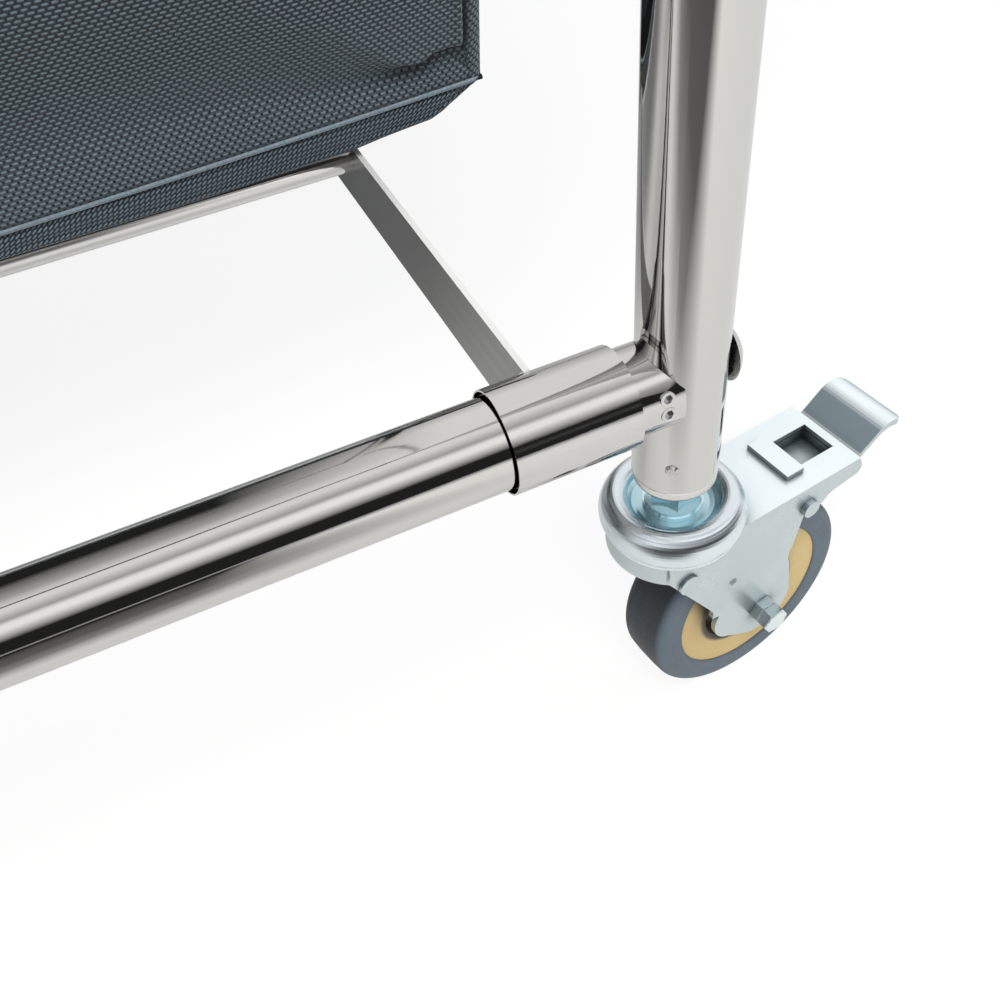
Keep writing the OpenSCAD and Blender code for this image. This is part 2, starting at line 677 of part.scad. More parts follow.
module bag_right_end() {
    color([0.28, 0.35, 0.4]) bag_end();
}

module bag_left_end() {
    color([0.28, 0.35, 0.4]) mirror([1, 0, 0]) bag_end();
}

// Half of the bag's bottom: a shallow tray that lies on the rod. Its floor clears the flat bars
// and rises to the seam at each end.
module bag_bottom(side) {
    floor_z = rod_z + rod_d / 2 + bag_gap;
    lip_z = bag_seam_z - 0.7;
    end_x = bag_end_x - cloth_t - bag_gap;
    edge_y = bag_seam_y - piping_d / 2 - 1.2;
    under = [
        [-end_x, lip_z - cloth_t], [bag_foot_run - end_x, floor_z + bag_foot_rise], [-bar_x, floor_z],
        [bar_x, floor_z], [end_x - bag_foot_run, floor_z + bag_foot_rise], [end_x, lip_z - cloth_t]
    ];
    color([0.26, 0.33, 0.38]) on_side(side) union() {
        plate_xz(bag_gap, edge_y - bag_gap)
            polygon(concat(under, [for (i = [5 : -1 : 0]) under[i] + [0, cloth_t]]));
        plate_xz(edge_y - cloth_t, cloth_t) polygon(concat(under, [[end_x, lip_z], [-end_x, lip_z]]));
    }
}

// Placed pieces
module near_right_post() { post(-1); }
module near_left_post() { mirror([1, 0, 0]) post(-1); }
module far_right_post() { post(1); }
module far_left_post() { mirror([1, 0, 0]) post(1); }

near_right_post();
near_left_post();
far_right_post();
far_left_post();
cross_tube(-1, tube_z);  // near_tube
cross_tube(1, tube_z);  // far_tube
cross_tube(-1, rail_z);  // near_rail
cross_tube(1, rail_z);  // far_rail
saddles(-1);  // near_saddles
saddles(1);  // far_saddles
fasteners(-1, stay_x);  // near_fasteners
fasteners(1, far_stay_x);  // far_fasteners
plugs(-1);  // near_plugs
plugs(1);  // far_plugs
caps(-1);  // near_caps
caps(1);  // far_caps
near_arms();
rod(-1);  // near_rod
far_arms();
rod(1);  // far_rod
link_pins();
near_stays();
far_stays();
stay_centre_pins();
balls(-1);  // near_balls
balls(1);  // far_balls
at_caster(1, -1) stem();  // near_right_stem
at_caster(1, -1) race();  // near_right_race
at_caster(1, -1) fork();  // near_right_fork
at_caster(1, -1) axle();  // near_right_axle
at_caster(1, -1) hub();  // near_right_hub
at_caster(1, -1) tyre();  // near_right_tyre
at_caster(1, -1) pedal();  // near_right_pedal
at_caster(-1, -1) stem();  // near_left_stem
at_caster(-1, -1) race();  // near_left_race
at_caster(-1, -1) fork();  // near_left_fork
at_caster(-1, -1) axle();  // near_left_axle
at_caster(-1, -1) hub();  // near_left_hub
at_caster(-1, -1) tyre();  // near_left_tyre
at_caster(-1, -1) pedal();  // near_left_pedal
at_caster(1, 1) stem();  // far_right_stem
at_caster(1, 1) race();  // far_right_race
at_caster(1, 1) fork();  // far_right_fork
at_caster(1, 1) axle();  // far_right_axle
at_caster(1, 1) hub();  // far_right_hub
at_caster(1, 1) tyre();  // far_right_tyre
at_caster(1, 1) pedal();  // far_right_pedal
at_caster(-1, 1) stem();  // far_left_stem
at_caster(-1, 1) race();  // far_left_race
at_caster(-1, 1) fork();  // far_left_fork
at_caster(-1, 1) axle();  // far_left_axle
at_caster(-1, 1) hub();  // far_left_hub
at_caster(-1, 1) tyre();  // far_left_tyre
at_caster(-1, 1) pedal();  // far_left_pedal
bag_wall(-1);  // bag_near_wall
bag_wall(1);  // bag_far_wall
bag_right_end();
bag_left_end();
bag_bottom(-1);  // bag_near_bottom
bag_bottom(1);  // bag_far_bottom
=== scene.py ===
# %% [markdown]
# # A folding laundry trolley, seen at one lower corner
# Two chromed side frames stand on braked casters. Hinged links near the floor and stays at the
# top hold them apart, and a cloth bag hangs from the top rails. The metal comes from the packed
# CAD model and keeps its shape. Blender gives it finishes, sews the bag, and lights the scene.

import json
import math
from functools import partial

import bpy
import numpy as np
from mathutils import Matrix, Vector


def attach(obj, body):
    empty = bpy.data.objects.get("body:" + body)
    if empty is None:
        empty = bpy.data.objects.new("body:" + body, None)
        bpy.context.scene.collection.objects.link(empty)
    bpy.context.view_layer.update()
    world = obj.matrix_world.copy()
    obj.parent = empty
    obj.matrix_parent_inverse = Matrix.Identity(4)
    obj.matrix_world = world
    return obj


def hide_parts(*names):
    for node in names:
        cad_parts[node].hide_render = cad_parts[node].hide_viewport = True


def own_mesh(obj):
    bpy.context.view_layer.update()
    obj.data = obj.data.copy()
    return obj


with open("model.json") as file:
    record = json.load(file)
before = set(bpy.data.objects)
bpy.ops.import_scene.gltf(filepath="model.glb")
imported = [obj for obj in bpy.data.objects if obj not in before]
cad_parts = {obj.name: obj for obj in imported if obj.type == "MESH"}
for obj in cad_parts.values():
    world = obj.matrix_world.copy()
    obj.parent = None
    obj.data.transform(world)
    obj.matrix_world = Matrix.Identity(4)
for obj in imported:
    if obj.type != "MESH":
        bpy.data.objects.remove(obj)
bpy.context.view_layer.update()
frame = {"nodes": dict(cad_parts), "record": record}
NODES = frame["nodes"]
print("CAD nodes:", len(NODES))

# %% [markdown]
# ## Camera
# The photographer stood over the near tube, a little left of the corner post, and looked down
# steeply. Only one lower corner is in the picture. The place and turn below come from fitting the
# straight edges of the post, tube, rod and wheel, so they are kept as numbers instead of aiming
# the camera at a point.

# %% Place the camera
SENSOR_MM, LENS_MM, NEAREST_M = 36, 38.79, 0.01
FITTED_PLACE = Matrix((
    (0.9029, 0.3563, -0.2404, 0.2363),
    (-0.4233, 0.6395, -0.6418, -0.5440),
    (-0.0749, 0.6813, 0.7282, 0.4433),
    (0, 0, 0, 1),
))
camera_data = bpy.data.cameras.new("photo_camera")
camera_data.sensor_width = SENSOR_MM
camera_data.lens = LENS_MM
camera_data.clip_start = NEAREST_M
camera = bpy.data.objects.new("photo_camera", camera_data)
camera.matrix_world = FITTED_PLACE
bpy.context.scene.collection.objects.link(camera)
bpy.context.scene.camera = camera
bpy.context.scene.view_settings.view_transform = "Standard"
print("camera stands at", [round(v, 3) for v in FITTED_PLACE.translation])

# %% [markdown]
# ## Node helpers
# A finish is a small network of nodes. These helpers keep each one readable. They add a node, join
# two nodes, do one sum, blend two colours, split a direction, draw noise, or turn a height into
# relief.


# %% Node helpers
MIX_FACTOR, MIX_FIRST, MIX_SECOND, MIX_RESULT = 0, 6, 7, 2


def add(tree, kind, values=None, **settings):
    node = tree.nodes.new("ShaderNode" + kind)
    for key, value in settings.items():
        setattr(node, key, value)
    for key, value in (values or {}).items():
        node.inputs[key].default_value = value
    return node


def join(tree, source, output, target, socket):
    tree.links.new(source.outputs[output], target.inputs[socket])
    return target


def feed(tree, item, socket):
    """Put another node's output, a colour or a number into a socket."""
    if isinstance(item, bpy.types.NodeSocket):
        tree.links.new(item, socket)
    else:
        socket.default_value = (*item, 1) if isinstance(item, tuple) else item


def math_node(tree, operation, *items):
    node = add(tree, "Math", operation=operation)
    for item, socket in zip(items, node.inputs):
        feed(tree, item, socket)
    return node.outputs[0]


def mix(tree, factor, first, second, blend="MIX"):
    node = add(tree, "Mix", data_type="RGBA", blend_type=blend)
    feed(tree, factor, node.inputs[MIX_FACTOR])
    feed(tree, first, node.inputs[MIX_FIRST])
    feed(tree, second, node.inputs[MIX_SECOND])
    return node.outputs[MIX_RESULT]


def split(tree, source, output):
    """The x, y and z of a place or a direction."""
    return join(tree, source, output, add(tree, "SeparateXYZ"), 0).outputs


def distance(tree, first, second):
    squares = [math_node(tree, "POWER", side, 2.0) for side in (first, second)]
    return math_node(tree, "SQRT", math_node(tree, "ADD", *squares))


def noise(tree, place, output, scale, detail, roughness=0.5):
    values = {"Scale": scale, "Detail": detail, "Roughness": roughness}
    return join(tree, place, output, add(tree, "TexNoise", values), "Vector").outputs[0]


def ramp(tree, source, stops):
    node = add(tree, "ValToRGB")
    elements = node.color_ramp.elements
    elements[0].position, elements[1].position = stops[0][0], stops[-1][0]
    for place, value in stops[1:-1]:
        elements.new(place)
    for element, (place, value) in zip(elements, stops):
        element.color = (*value, 1) if isinstance(value, tuple) else (value, value, value, 1)
    tree.links.new(source, node.inputs[0])
    return node.outputs[0]


def relief(tree, height, shader, strength, reach):
    bump = add(tree, "Bump", {"Strength": strength, "Distance": reach})
    tree.links.new(height, bump.inputs["Height"])
    join(tree, bump, 0, shader, "Normal")
    return bump


# %% [markdown]
# ## Studio
# Polished chrome has almost no colour of its own: what is drawn on it is the room. The room here
# is a few plain studio cards, long and parallel to the tubes: a black card low in front, a strip
# light, a grey wall, and a wide soft light overhead. Behind the trolley it is dark on the left
# and pale on the right. Each card is one brightness, and the ramp blends it into the next. Only
# reflections see the cards. To the camera the room is plain white.

# %% The room
BLACK_CARD, GREY_WALL, SOFT_LIGHT, STRIP_LIGHT = 0.02, 0.5, 1.0, 1.2
FRONT = (
    (0.0, BLACK_CARD), (0.125, BLACK_CARD), (0.25, STRIP_LIGHT), (0.30, STRIP_LIGHT),
    (0.35, GREY_WALL), (0.45, SOFT_LIGHT), (0.5, SOFT_LIGHT),
)
BACK_LEFT = FRONT + ((0.6, GREY_WALL), (0.8, BLACK_CARD), (1.0, BLACK_CARD))
BACK_RIGHT = FRONT + ((0.8, SOFT_LIGHT), (1.0, GREY_WALL))
ROOM_LIGHT, PLAIN_WHITE = (0.46, 0.475, 0.49), (1.0, 1.0, 1.0)
RIGHT_FROM = 0.22
world = bpy.data.worlds.new("room")
bpy.context.scene.world = world
world.use_nodes = True
room = world.node_tree
room.nodes.clear()
to_right, to_back, upward = split(room, add(room, "TexCoord"), "Generated")
turn = math_node(room, "ARCTAN2", upward, math_node(room, "MULTIPLY", to_back, -1.0))
half_turn = math_node(room, "DIVIDE", turn, math.pi)
cards = mix(room, ramp(room, to_right, ((0.0, 0.0), (RIGHT_FROM, 1.0))),
            ramp(room, half_turn, BACK_LEFT), ramp(room, half_turn, BACK_RIGHT))
rays = add(room, "LightPath")
lit = mix(room, rays.outputs["Is Glossy Ray"], ROOM_LIGHT, cards)
seen = mix(room, rays.outputs["Is Camera Ray"], lit, PLAIN_WHITE)
background = add(room, "Background", {"Strength": 1.0})
room.links.new(seen, background.inputs["Color"])
join(room, background, 0, add(room, "OutputWorld"), "Surface")
print("light cards:", len({BLACK_CARD, GREY_WALL, SOFT_LIGHT, STRIP_LIGHT}))

# %% [markdown]
# ## Floor
# The floor is pale and matt. For the camera it is mixed with plain white, so that it meets the
# white room without an edge and still holds a faint shadow under the trolley. A dark card lies on
# it in front of the near tube, as a photographer would lay one, and only reflections see it.


# %% Floor and card
FLOOR_REACH = 15
CARD_LOW, CARD_HIGH, CARD_HEIGHT = (-3, -4), (0.5, -0.38), 0.0008
CARD_DEPTH = ((0.20, 0.0), (0.27, 0.7), (0.36, 0.88), (1.0, 1.0))
CARD_SIDE = ((0.70, 1.0), (0.92, 0.0))


def flat_sheet(name, low, high, height):
    mesh = bpy.data.meshes.new(name)
    mesh.from_pydata([(low[0], low[1], height), (high[0], low[1], height),
                      (high[0], high[1], height), (low[0], high[1], height)], [], [(0, 1, 2, 3)])
    sheet = bpy.data.objects.new(name, mesh)
    bpy.context.scene.collection.objects.link(sheet)
    return sheet


def bare_paint(name):
    paint = bpy.data.materials.new(name)
    paint.use_nodes = True
    paint.node_tree.nodes.clear()
    return paint, paint.node_tree


def floor_paint():
    """Matt, and mostly plain white to the camera."""
    paint, tree = bare_paint("floor_paint")
    matt = add(tree, "BsdfDiffuse", {"Color": (0.82, 0.815, 0.80, 1)})
    white = add(tree, "Emission", {"Color": (1, 1, 1, 1), "Strength": 1.06})
    pale = join(tree, matt, 0, add(tree, "MixShader", {"Fac": 0.8}), 1)
    join(tree, white, 0, pale, 2)
    either = join(tree, add(tree, "LightPath"), "Is Camera Ray", add(tree, "MixShader"), "Fac")
    join(tree, matt, 0, either, 1)
    join(tree, pale, 0, either, 2)
    join(tree, either, 0, add(tree, "OutputMaterial"), "Surface")
    return paint


def card_paint():
    """Nearly black, and clear toward the tube and toward the right."""
    paint, tree = bare_paint("card_paint")
    across, along, _ = split(tree, add(tree, "TexCoord"), "Object")
    deep = ramp(tree, math_node(tree, "MULTIPLY", along, -0.5), CARD_DEPTH)
    side = ramp(tree, math_node(tree, "ADD", across, 0.5), CARD_SIDE)
    cover = add(tree, "MixShader")
    tree.links.new(math_node(tree, "MULTIPLY", deep, side), cover.inputs[0])
    join(tree, add(tree, "BsdfTransparent"), 0, cover, 1)
    join(tree, add(tree, "Emission", {"Color": (0.03, 0.029, 0.028, 1)}), 0, cover, 2)
    join(tree, cover, 0, add(tree, "OutputMaterial"), "Surface")
    return paint


floor = flat_sheet("floor", (-FLOOR_REACH, -FLOOR_REACH), (FLOOR_REACH, FLOOR_REACH), 0)
floor.data.materials.append(floor_paint())
card = flat_sheet("dark_card", CARD_LOW, CARD_HIGH, CARD_HEIGHT)
card.data.materials.append(card_paint())
card.visible_camera = card.visible_diffuse = card.visible_shadow = False
card.visible_transmission = False
print("floor and card lie ready")

# %% [markdown]
# ## Lamps
# One wide soft lamp over the near left shapes the matt pieces, and a weaker one on the right
# opens their shadows. Reflections don't show them, because the cards of the room do that work.


# %% Hang the lamps
def soft_lamp(name, place, aim, size, watts, colour):
    lamp = bpy.data.lights.new(name, "AREA")
    lamp.shape = "RECTANGLE"
    lamp.size, lamp.size_y = size
    lamp.energy = watts
    lamp.color = colour
    hung = bpy.data.objects.new(name, lamp)
    hung.location = place
    hung.rotation_euler = (Vector(aim) - Vector(place)).to_track_quat("-Z", "Y").to_euler()
    hung.visible_glossy = False
    bpy.context.scene.collection.objects.link(hung)
    return hung


OVER_WATTS, SIDE_WATTS = 62, 13
soft_lamp("over_lamp", (-0.4, -1.6, 2.4), (0.3, -0.2, 0.2), (1.6, 1.2), OVER_WATTS, (1.0, 0.99, 0.97))
soft_lamp("side_lamp", (2.2, -0.6, 1.2), (0.4, -0.2, 0.2), (1.2, 1.2), SIDE_WATTS, (0.94, 0.98, 1.0))
print("lamps hung:", 2)

# %% [markdown]
# ## Chrome
# The tubes are drawn steel with a polished chrome plate. The plate is a warm mirror. Its flaws
# are small: a slow waviness left by polishing, and a thin haze that varies from place to place.


# %% Chrome finishes
def principled(name):
    finish = bpy.data.materials.new(name)
    finish.use_nodes = True
    return finish, finish.node_tree, finish.node_tree.nodes["Principled BSDF"]


def chrome(name, colour, haze=0.035, waviness=0.06):
    finish, tree, shader = principled(name)
    shader.inputs["Base Color"].default_value = (*colour, 1)
    shader.inputs["Metallic"].default_value = 1.0
    place = add(tree, "TexCoord")
    cloudy = noise(tree, place, "Object", 28.0, 5.0, 0.6)
    feed(tree, ramp(tree, cloudy, ((0.35, haze), (0.75, haze * 2.2))), shader.inputs["Roughness"])
    relief(tree, noise(tree, place, "Object", 22.0, 2.0), shader, waviness, 0.002)
    return finish


chrome_tube = chrome("chrome_tube_finish", (0.63, 0.62, 0.60))
chrome_fitting = chrome("chrome_fitting_finish", (0.62, 0.61, 0.595), haze=0.045)
print("chrome is ready")

# %% [markdown]
# ## Plated metal and moulded pieces
# The nuts, bolts and pressings are plated metal with a fine grain. The tyre and the wheel's core
# are moulded and matt. Each kind is one recipe: noise varies its colour and its gloss by a few
# percent, and the same noise gives a shallow relief. A finish can be opened afterwards, and its
# colour led through more nodes.


# %% Plated and moulded recipes
def worn_metal(name, colour, dark, metallic, roughness, scale, depth=0.1, edge=0.0):
    finish, tree, shader = principled(name)
    shader.inputs["Metallic"].default_value = metallic
    grain = noise(tree, add(tree, "TexCoord"), "Object", scale, 8.0, 0.65)
    feed(tree, ramp(tree, grain, ((0.3, dark), (0.62, colour))), shader.inputs["Base Color"])
    haze = ramp(tree, grain, ((0.3, roughness * 1.35), (0.7, roughness * 0.8)))
    feed(tree, haze, shader.inputs["Roughness"])
    bump = relief(tree, grain, shader, depth, 0.0002)
    if edge:
        join(tree, add(tree, "Bevel", {"Radius": edge}, samples=6), 0, bump, "Normal")
    return finish


def matt_finish(name, colour, dark, roughness, scale, depth, sheen=0.0):
    finish, tree, shader = principled(name)
    shader.inputs["Sheen Weight"].default_value = sheen
    place = add(tree, "TexCoord")
    grain = noise(tree, place, "Object", scale, 6.0, 0.6)
    broad = noise(tree, place, "Object", scale * 0.05, 3.0)
    feed(tree, ramp(tree, broad, ((0.35, dark), (0.65, colour))), shader.inputs["Base Color"])
    haze = ramp(tree, grain, ((0.3, roughness * 1.2), (0.7, roughness * 0.85)))
    feed(tree, haze, shader.inputs["Roughness"])
    relief(tree, grain, shader, depth, 0.0005)
    return finish


def opened(finish):
    """The tree of a finish, the socket of its colour, and what feeds that socket now."""
    colour_socket = finish.node_tree.nodes["Principled BSDF"].inputs["Base Color"]
    return finish.node_tree, colour_socket, colour_socket.links[0].from_socket


def occlusion(tree, reach, samples, stops):
    corner = add(tree, "AmbientOcclusion", {"Distance": reach}, samples=samples)
    return ramp(tree, corner.outputs["AO"], stops)


bright_zinc = worn_metal("axle_finish", (0.78, 0.86, 0.88), (0.72, 0.80, 0.83), 1.0, 0.16, 60,
                         edge=0.0005)
print("recipes:", 2)

# %% [markdown]
# ## Link bars
# A link is one steel piece: a chromed sleeve round the tube, and a flat bar polished along its
# length. The distance from the tube's axis tells sleeve and bar apart. The bar's grey rises from
# the rod to the sleeve. That rise is painted, and stands for what the bar reflects in the
# photograph, because the plain cards of this room don't draw it. The bar's edges carry a painted
# highlight, chosen by the way each face points.


# %% Link finish
TUBE_Y, TUBE_Z = 0.300, 0.194


def link_finish():
    """A mirror on the sleeve; half-matt flat bar with painted edge highlight and a painted rise."""
    # painted highlight on the bar's edges, chosen by the way a face points; painted reflection rising
    # along its flat faces
    mirror, painted_edge_highlight = (0.62, 0.61, 0.595), (0.86, 0.855, 0.84)
    rising_grey = ((0.30, (0.060, 0.059, 0.056)), (0.60, (0.105, 0.103, 0.098)),
                   (0.84, (0.235, 0.23, 0.222)))
    finish, tree, shader = principled("link_finish")
    calc = partial(math_node, tree)
    place = add(tree, "TexCoord")
    across, height = split(tree, place, "Object")[1:]
    away = calc("ABSOLUTE", across)
    to_axis = distance(tree, calc("SUBTRACT", away, TUBE_Y), calc("SUBTRACT", height, TUBE_Z))
    bar = ramp(tree, calc("MULTIPLY", to_axis, 10.0), ((0.190, 0.0), (0.194, 1.0)))
    facing_end = calc("ABSOLUTE", split(tree, place, "Normal")[0])
    side = ramp(tree, facing_end, ((0.6, 0.0), (0.9, 1.0)))
    stretched = add(tree, "Mapping", {"Scale": (1.0, 0.06, 2.5)})
    grain = noise(tree, join(tree, place, "Object", stretched, "Vector"), 0, 90.0, 6.0, 0.6)
    face = ramp(tree, calc("MULTIPLY", away, 3.0), rising_grey)
    streaks = mix(tree, 1.0, face, ramp(tree, grain, ((0.3, 0.88), (0.7, 1.08))), "MULTIPLY")
    whole = mix(tree, bar, mirror, mix(tree, side, painted_edge_highlight, streaks))
    feed(tree, whole, shader.inputs["Base Color"])
    feed(tree, ramp(tree, bar, ((0.0, 1.0), (1.0, 0.25))), shader.inputs["Metallic"])
    feed(tree, ramp(tree, bar, ((0.0, 0.05), (1.0, 0.30))), shader.inputs["Roughness"])
    relief(tree, grain, shader, 0.05, 0.0005)
    return finish


link_steel = link_finish()
print("link steel is ready")

# %% [markdown]
# ## Wheel
# The tyre is a soft grey-blue elastomer, and its tread carries painted shade. The core is tan
# moulded plastic with a recess round its boss. Both are one material each, and the nodes place
# the painted shade: the tyre's by the way its face points, the core's by the distance from the
# axle and by occlusion in its corners. The recess is painted darker than its shadow alone would
# be.


# %% Wheel finishes
WHEEL_X, WHEEL_Z = 0.437, 0.052


def tyre_finish():
    """Paler moulded sides and a tread in painted shade; the object's own normal tells them apart."""
    tread_painted_shade = (0.013, 0.019, 0.026)
    finish = matt_finish("tyre_finish", (0.098, 0.130, 0.162), (0.084, 0.113, 0.143), 0.5, 900, 0.2)
    tree, colour_socket, pale = opened(finish)
    # painted shade on the tread, chosen by the way the face points
    facing_side = math_node(tree, "ABSOLUTE", split(tree, add(tree, "TexCoord"), "Normal")[1])
    side = ramp(tree, facing_side, ((0.25, 0.0), (0.85, 1.0)))
    feed(tree, mix(tree, side, tread_painted_shade, pale), colour_socket)
    return finish


def core_finish():
    """Tan moulded plastic, with painted shade in its corners and in the recess round the boss."""
    painted_corner_shade, painted_recess_shade = (0.02, 0.014, 0.008), (0.040, 0.026, 0.012)
    finish = matt_finish("core_finish", (0.62, 0.45, 0.19), (0.57, 0.41, 0.17), 0.42, 700, 0.1)
    tree, colour_socket, tan = opened(finish)
    calc = partial(math_node, tree)
    # painted shade in the corners, from occlusion
    shaded = mix(tree, occlusion(tree, 0.014, 8, ((0.5, 0.0), (0.92, 1.0))), painted_corner_shade, tan)
    across, _, height = split(tree, add(tree, "TexCoord"), "Object")
    radius = distance(tree, calc("SUBTRACT", calc("ABSOLUTE", across), WHEEL_X),
                      calc("SUBTRACT", height, WHEEL_Z))
    # painted shade in the recess round the boss, by the distance from the axle
    rim = ramp(tree, calc("MULTIPLY", radius, 20.0), ((0.485, 0.0), (0.52, 1.0)))
    feed(tree, mix(tree, rim, painted_recess_shade, shaded), colour_socket)
    return finish


tyre_rubber, core_plastic = tyre_finish(), core_finish()
print("wheel finishes:", 2)

# %% [markdown]
# ## Caster pressings
# Race, fork and pedal are zinc plated pressings: pale, slightly blue and half matt. The stem's nut
# in the dish carries a brighter blue plate. The fork's tone follows the way each face points: a
# painted highlight on its top, and painted shade on its sides and on the pedal's rise. It was
# chosen because the top, the sides and the pedal's rise differ more in the photograph than these
# lamps make them differ. Occlusion adds painted shade in the fork's corners.


# %% Race and fork finishes
POST_X, POST_Y = 0.400, 0.300


def race_finish():
    """Satin zinc outside, and the blue plate of the stem inside the dish."""
    blue_plate = (0.50, 0.70, 0.77)
    finish = worn_metal("race_finish", (0.76, 0.82, 0.86), (0.74, 0.80, 0.84), 1.0, 0.24, 40,
                        depth=0.02)
    tree, colour_socket, zinc = opened(finish)
    calc = partial(math_node, tree)
    across, along, _ = split(tree, add(tree, "TexCoord"), "Object")
    radius = distance(tree, calc("SUBTRACT", calc("ABSOLUTE", across), POST_X),
                      calc("SUBTRACT", calc("ABSOLUTE", along), POST_Y))
    dish = ramp(tree, calc("MULTIPLY", radius, 20.0), ((0.33, 0.0), (0.42, 1.0)))
    feed(tree, mix(tree, dish, blue_plate, zinc), colour_socket)
    return finish


def fork_finish():
    """Zinc with painted shade on the sides, pedal's rise and corners, and a painted top highlight."""
    painted_side_shade, painted_top_highlight, painted_rise_shade = (0.56, 0.625, 0.64), (0.90, 0.98, 1.0), (0.36, 0.45, 0.50)
    painted_corner_shade = (0.025, 0.045, 0.060)
    finish = worn_metal("fork_finish", (1.0, 1.0, 1.0), (0.95, 0.95, 0.95), 0.75, 0.30, 30,
                        depth=0.02)
    tree, colour_socket, grain = opened(finish)
    calc = partial(math_node, tree)
    _, across, up = split(tree, add(tree, "TexCoord"), "Normal")
    # painted light by the way a face points: shade on the sides and the pedal's rise, a highlight on the
    # top
    level = ramp(tree, up, ((0.70, painted_side_shade), (0.92, painted_top_highlight)))
    end_face = ramp(tree, calc("ABSOLUTE", across), ((0.3, 1.0), (0.5, 0.0)))
    sloping = calc("MULTIPLY", ramp(tree, up, ((0.25, 0.0), (0.45, 1.0))),
                   ramp(tree, up, ((0.80, 1.0), (0.93, 0.0))))
    toned = mix(tree, calc("MULTIPLY", end_face, sloping), level, painted_rise_shade)
    # painted shade in the corners, from occlusion
    deep = mix(tree, occlusion(tree, 0.016, 6, ((0.35, 0.0), (0.80, 1.0))), painted_corner_shade, toned)
    feed(tree, mix(tree, 1.0, deep, grain, "MULTIPLY"), colour_socket)
    return finish


race_zinc, fork_zinc = race_finish(), fork_finish()
print("pressing finishes:", 2)

# %% [markdown]
# ## Finishes on the pieces
# Each CAD piece names its material, so one table dresses them all. Pressed edges are rolled and
# never sharp, so a narrow Bevel modifier rounds them, and a Weighted Normal modifier keeps the flat
# faces beside them evenly shaded. Modifiers are used because the CAD meshes stay as they are.

# %% Dress the CAD pieces
ROLLED_EDGE, SHARP_FROM = 0.0011, math.radians(50)
FINISHES = {
    "chrome_tube": chrome_tube,
    "chrome_fitting": chrome_fitting,
    "fastener": worn_metal("fastener_finish", (0.66, 0.655, 0.65), (0.56, 0.555, 0.55), 1.0, 0.24, 200),
    "plug": worn_metal("plug_finish", (0.74, 0.725, 0.70), (0.70, 0.69, 0.665), 1.0, 0.18, 60),
    "link_steel": link_steel,
    "rod_steel": chrome("rod_finish", (0.72, 0.71, 0.70), haze=0.05),
    "blue_zinc": worn_metal("blue_zinc_finish", (0.66, 0.83, 0.88), (0.61, 0.79, 0.85), 1.0, 0.12, 80,
                            depth=0.04),
    "race_zinc": race_zinc,
    "fork_zinc": fork_zinc,
    "core_plastic": core_plastic,
    "tyre_rubber": tyre_rubber,
    "bag_cloth": matt_finish("cloth_finish", (0.07, 0.10, 0.125), (0.05, 0.075, 0.1), 0.8, 900, 0.3,
                             sheen=0.2),
}
for part in frame["record"]["subparts"]:
    node, slot = NODES[part["node"]], part["material_slot"]
    node.data.materials.clear()
    node.data.materials.append(bright_zinc if part["node"].endswith("_axle") else FINISHES[slot])
    if slot == "fork_zinc":
        rolled = node.modifiers.new("rolled_edges", "BEVEL")
        rolled.width, rolled.segments, rolled.limit_method = ROLLED_EDGE, 2, "ANGLE"
        rolled.angle_limit = SHARP_FROM
    if slot in ("fork_zinc", "race_zinc"):
        node.modifiers.new("even_shading", "WEIGHTED_NORMAL").keep_sharp = True
print("finishes:", len(FINISHES))

# %% [markdown]
# ## The bag's lines
# The bag is sewn from woven cloth: two long walls that hang from the top rails, two end walls, and
# a bottom in two halves that rests on the rods. Its seams follow a few straight lines of the CAD
# model, and the cloth sags and puckers between them. These lines are written once, in metres.

# %% Lines of the bag
RAIL_Y, RAIL_Z = 0.300, 0.880
SEAM_Y, SEAM_Z, END_X, TOP_Z = 0.130, 0.231, 0.403, 0.8615
LEAN = (RAIL_Y - SEAM_Y) / (TOP_Z - SEAM_Z)
END_INWARD = 0.025
END_LEAN = END_INWARD / (TOP_Z - SEAM_Z)
SLOPE = math.hypot(1, LEAN)
SIDE_SEAM = 0.0058
SEAM_CORNER_Z, SEAM_SAG = 0.2323, 0.0091


def seam_height(x):
    return SEAM_CORNER_Z - SEAM_SAG * (1 - np.minimum(np.abs(x) / END_X, 1) ** 2)


def corner_x(z):
    return END_X - (z - SEAM_Z) * END_LEAN


def ease(value):
    value = np.clip(value, 0, 1)
    return value * value * (3 - 2 * value)


def spaced(count, tight, low=-1.0, high=1.0):
    even = np.linspace(-1, 1, count)
    bent = (1 - tight) * even + tight * np.sin(even * math.pi / 2)
    return low + (bent + 1) / 2 * (high - low)


print("the long wall leans", round(math.degrees(math.atan(LEAN)), 1), "degrees")

# %% [markdown]
# ## Woven cloth
# The cloth is a coarse weave: short flat yarns lie in rows like bricks, with small holes between
# them where the cloth is stretched. A cell pattern made of arithmetic nodes gives each yarn its
# rounded body. The same height drives colour and bump: a painted highlight on the top of each
# yarn and painted shade in the gaps between them, so that the weave reads from any side.
# Occlusion adds painted shade in the cloth's creases. The pattern is measured in metres along
# the cloth through its UV map.


# %% Weave finish
# painted highlight on the yarn tops and painted shade in the gaps between yarns
YARN_TOP_PAINTED_HIGHLIGHT, YARN_GAP_PAINTED_SHADE = (0.170, 0.228, 0.268), (0.010, 0.018, 0.025)
HOLE_DARK = (0.004, 0.007, 0.010)
YARN_HALF_WIDTH, YARN_HALF_HEIGHT = 0.45, 0.36
HOLE_HALF_WIDTH, HOLE_HALF_HEIGHT = 0.20, 0.40


